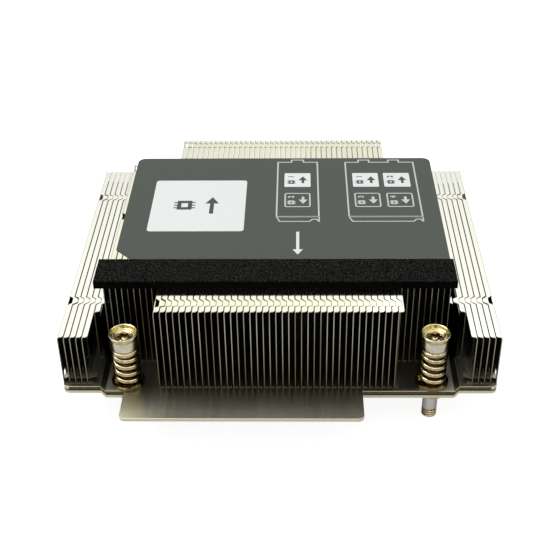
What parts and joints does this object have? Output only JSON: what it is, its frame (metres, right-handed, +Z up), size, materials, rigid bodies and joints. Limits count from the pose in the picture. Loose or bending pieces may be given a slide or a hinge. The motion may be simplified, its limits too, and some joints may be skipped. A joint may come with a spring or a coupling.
{
  "type": "passive server cpu heatsink",
  "caption": "Folded-fin heatsink for a server processor: low side fins, tall centre fins, foam strip, top label, and captive spring screws at the corners of a two-sheet base.",
  "frame": {"origin": "centre of the contact face that sits on the processor, which is also the centre of the four screws", "axes": "+X across the fins, +Y along the fins to the rear, +Z up from the contact face"},
  "size_m": [0.1134, 0.1061, 0.038],
  "materials": {
    "fins": "bright rolled sheet, slightly warm",
    "base": "brushed, satin",
    "foam": "closed-cell foam, matt and speckled",
    "label": "satin printed film",
    "screw": "plated, slightly golden",
    "spring": "plated wire"
  },
  "bodies": {
    "root": {"lower_base_sheet": "base", "upper_base_sheet": "base", "contact_block": "base", "foam_strip": "foam", "top_label": "label", "centre_fins": "fins", "left_outer_fin_1": "fins", "left_outer_fin_2": "fins", "left_outer_fin_3": "fins", "left_outer_fin_4": "fins", "left_outer_fin_5": "fins", "left_step_fin_1": "fins", "left_step_fin_2": "fins", "right_outer_fin_1": "fins", "right_outer_fin_2": "fins", "right_outer_fin_3": "fins", "right_outer_fin_4": "fins", "right_outer_fin_5": "fins", "right_step_fin_1": "fins", "right_step_fin_2": "fins", "left_bay_fin_1": "fins", "left_bay_fin_2": "fins", "left_bay_fin_3": "fins", "left_bay_fin_4": "fins", "left_bay_fin_5": "fins", "left_bay_fin_6": "fins", "left_bay_fin_7": "fins", "left_bay_fin_8": "fins", "left_bay_fin_9": "fins", "right_bay_fin_1": "fins", "right_bay_fin_2": "fins", "right_bay_fin_3": "fins", "right_bay_fin_4": "fins", "right_bay_fin_5": "fins", "right_bay_fin_6": "fins", "right_bay_fin_7": "fins", "right_bay_fin_8": "fins", "right_bay_fin_9": "fins", "front_left_spring": "spring", "front_left_washer": "screw", "front_right_spring": "spring", "front_right_washer": "screw", "rear_left_spring": "spring", "rear_left_washer": "screw", "rear_right_spring": "spring", "rear_right_washer": "screw"},
    "front_left_ring_body": {"front_left_retaining_ring": "spring"},
    "front_left_screw_body": {"front_left_screw": "screw"},
    "front_right_ring_body": {"front_right_retaining_ring": "spring"},
    "front_right_screw_body": {"front_right_screw": "screw"},
    "rear_left_ring_body": {"rear_left_retaining_ring": "spring"},
    "rear_left_screw_body": {"rear_left_screw": "screw"},
    "rear_right_ring_body": {"rear_right_retaining_ring": "spring"},
    "rear_right_screw_body": {"rear_right_screw": "screw"}
  },
  "joints": [
    {"name": "front_left_screw_push", "type": "slide", "parent": "root", "child": "front_left_ring_body", "axis": [0, 0, -1], "range_m": [0, 0.003], "stiffness_N_per_m": 200, "springref_m": -0.002, "deforming": ["front_left_spring"]},
    {"name": "front_left_screw_turn", "type": "hinge", "parent": "front_left_ring_body", "child": "front_left_screw_body", "pos_m": [-0.04, -0.04, 0.01], "axis": [0, 0, 1], "continuous": true},
    {"name": "front_right_screw_push", "type": "slide", "parent": "root", "child": "front_right_ring_body", "axis": [0, 0, -1], "range_m": [0, 0.003], "stiffness_N_per_m": 200, "springref_m": -0.002, "deforming": ["front_right_spring"]},
    {"name": "front_right_screw_turn", "type": "hinge", "parent": "front_right_ring_body", "child": "front_right_screw_body", "pos_m": [0.04, -0.04, 0.01], "axis": [0, 0, 1], "continuous": true},
    {"name": "rear_left_screw_push", "type": "slide", "parent": "root", "child": "rear_left_ring_body", "axis": [0, 0, -1], "range_m": [0, 0.003], "stiffness_N_per_m": 200, "springref_m": -0.002, "deforming": ["rear_left_spring"]},
    {"name": "rear_left_screw_turn", "type": "hinge", "parent": "rear_left_ring_body", "child": "rear_left_screw_body", "pos_m": [-0.04, 0.04, 0.01], "axis": [0, 0, 1], "continuous": true},
    {"name": "rear_right_screw_push", "type": "slide", "parent": "root", "child": "rear_right_ring_body", "axis": [0, 0, -1], "range_m": [0, 0.003], "stiffness_N_per_m": 200, "springref_m": -0.002, "deforming": ["rear_right_spring"]},
    {"name": "rear_right_screw_turn", "type": "hinge", "parent": "rear_right_ring_body", "child": "rear_right_screw_body", "pos_m": [0.04, 0.04, 0.01], "axis": [0, 0, 1], "continuous": true}
  ]
}
